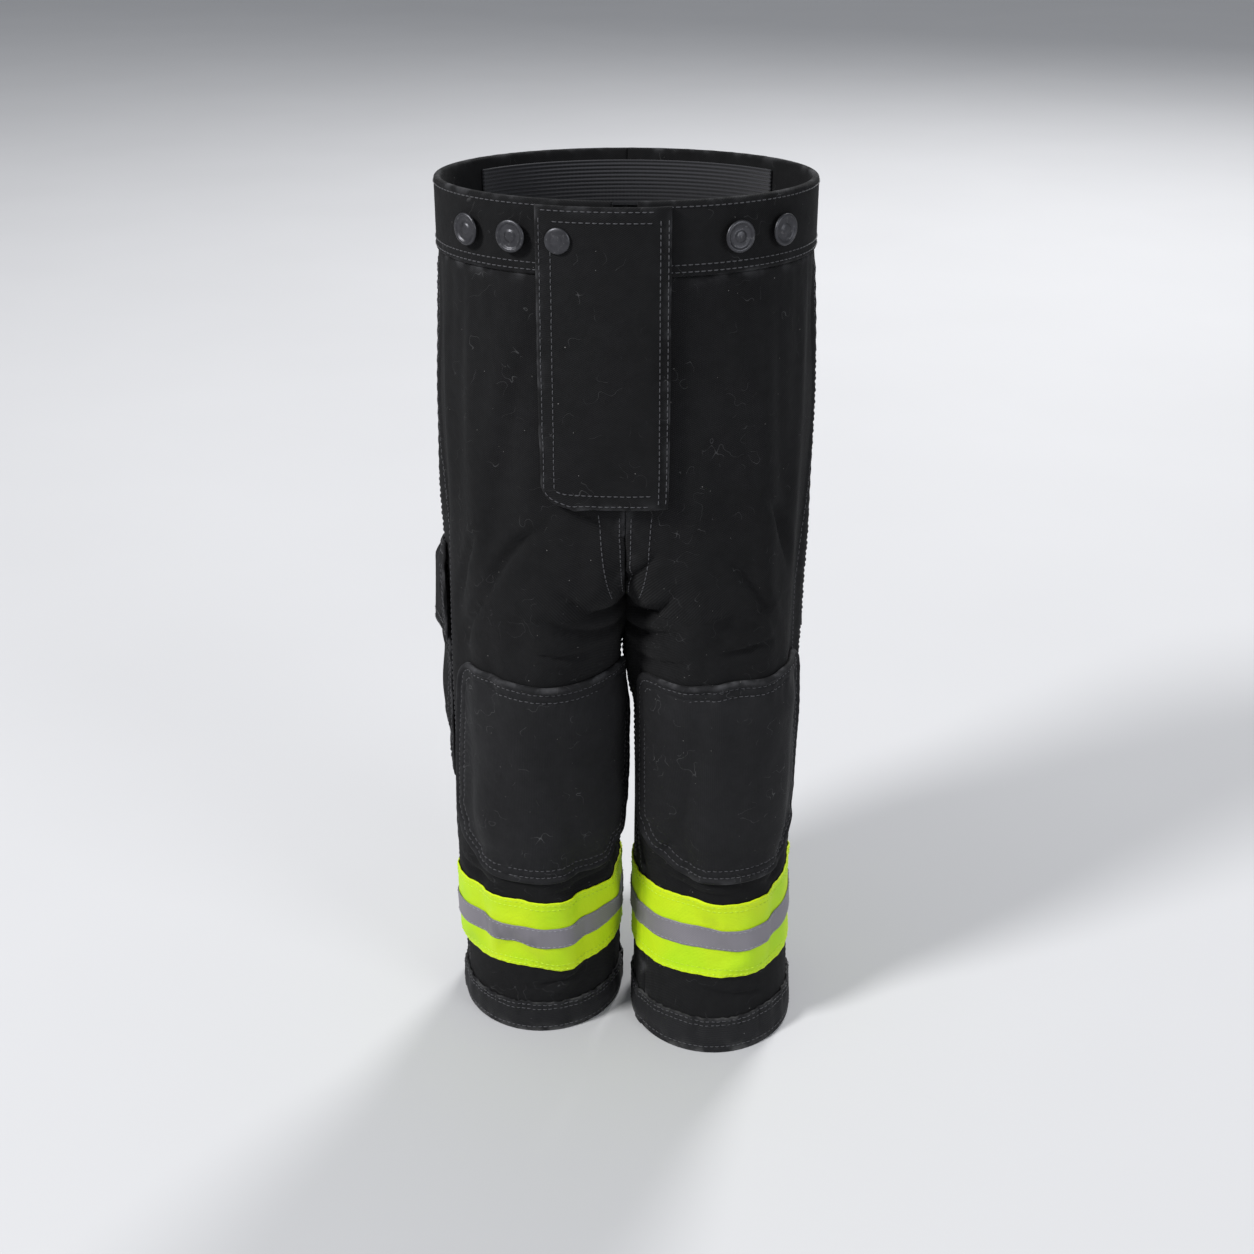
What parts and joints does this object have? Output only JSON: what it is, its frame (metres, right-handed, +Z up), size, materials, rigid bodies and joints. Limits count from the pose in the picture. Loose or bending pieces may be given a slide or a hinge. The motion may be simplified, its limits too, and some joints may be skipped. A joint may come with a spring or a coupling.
{
  "type": "bunker pants",
  "caption": "Child's firefighter bunker pants: black shell and liner, lime and silver leg trim, padded knee patches, flapped cargo pockets, zip fly under a storm flap.",
  "frame": {"origin": "on the ground under the middle of the garment's bounding box", "axes": "+Z up from the hems to the waistband, -Y the way the wearer faces, +X the wearer's left"},
  "size_m": [0.2134, 0.1698, 0.505],
  "materials": {
    "shell_cloth": "matt black twill",
    "patch_cloth": "coated black duck cloth with a slight sheen",
    "liner_cloth": "quilted grey cotton",
    "lime_trim": "fluorescent lime woven tape",
    "silver_trim": "retroreflective silver tape",
    "cuff_binding": "black hem binding",
    "foam": "closed-cell foam, dark grey",
    "hook_and_loop": "black hook-and-loop tape",
    "elastic_web": "ribbed black elastic",
    "zip_tape": "black woven tape with moulded teeth",
    "dark_metal": "blackened steel"
  },
  "bodies": {
    "pants": {"left_front_shell": "shell_cloth", "left_front_liner": "liner_cloth", "left_back_shell": "shell_cloth", "left_back_liner": "liner_cloth", "left_cuff_binding": "cuff_binding", "left_trim_band": "lime_trim", "left_trim_stripe": "silver_trim", "left_knee_patch": "patch_cloth", "left_knee_pad": "foam", "left_cargo_pocket": "shell_cloth", "left_pocket_loop_tape": "hook_and_loop", "left_waistband": "shell_cloth", "left_zip_stringer": "zip_tape", "left_front_suspender_button_1": "dark_metal", "left_front_suspender_button_2": "dark_metal", "left_back_suspender_button_1": "dark_metal", "left_back_suspender_button_2": "dark_metal", "right_front_shell": "shell_cloth", "right_front_liner": "liner_cloth", "right_back_shell": "shell_cloth", "right_back_liner": "liner_cloth", "right_cuff_binding": "cuff_binding", "right_trim_band": "lime_trim", "right_trim_stripe": "silver_trim", "right_knee_patch": "patch_cloth", "right_knee_pad": "foam", "right_cargo_pocket": "shell_cloth", "right_pocket_loop_tape": "hook_and_loop", "right_waistband": "shell_cloth", "right_zip_stringer": "zip_tape", "right_front_suspender_button_1": "dark_metal", "right_front_suspender_button_2": "dark_metal", "right_back_suspender_button_1": "dark_metal", "right_back_suspender_button_2": "dark_metal", "back_elastic": "elastic_web", "zip_bottom_stop": "dark_metal", "fly_shield": "liner_cloth", "fly_loop_tape": "hook_and_loop", "waist_snap_stud": "dark_metal"},
    "fly_flap": {"fly_storm_flap": "shell_cloth", "fly_hook_tape": "hook_and_loop", "waist_snap_cap": "dark_metal"},
    "zip_slider": {"zip_slider": "dark_metal", "zip_pull": "zip_tape"},
    "left_flap": {"left_pocket_flap": "shell_cloth", "left_flap_hook_tape": "hook_and_loop"},
    "right_flap": {"right_pocket_flap": "shell_cloth", "right_flap_hook_tape": "hook_and_loop"}
  },
  "joints": [
    {"name": "fly_flap_hinge", "type": "hinge", "parent": "pants", "child": "fly_flap", "pos_m": [0.0253, -0.0821, 0.427], "axis": [0, 0, 1], "range_deg": [0, 150]},
    {"name": "zip_slide", "type": "slide", "parent": "pants", "child": "zip_slider", "axis": [0, 0, 1], "range_m": [-0.11, 0]},
    {"name": "left_pocket_flap_hinge", "type": "hinge", "parent": "pants", "child": "left_flap", "pos_m": [0.0804, 0.05813, 0.30411], "axis": [0.7104, -0.7037, 0], "range_deg": [0, 135]},
    {"name": "right_pocket_flap_hinge", "type": "hinge", "parent": "pants", "child": "right_flap", "pos_m": [-0.08977, 0.03737, 0.30397], "axis": [0.439, 0.8985, 0], "range_deg": [0, 135]}
  ]
}
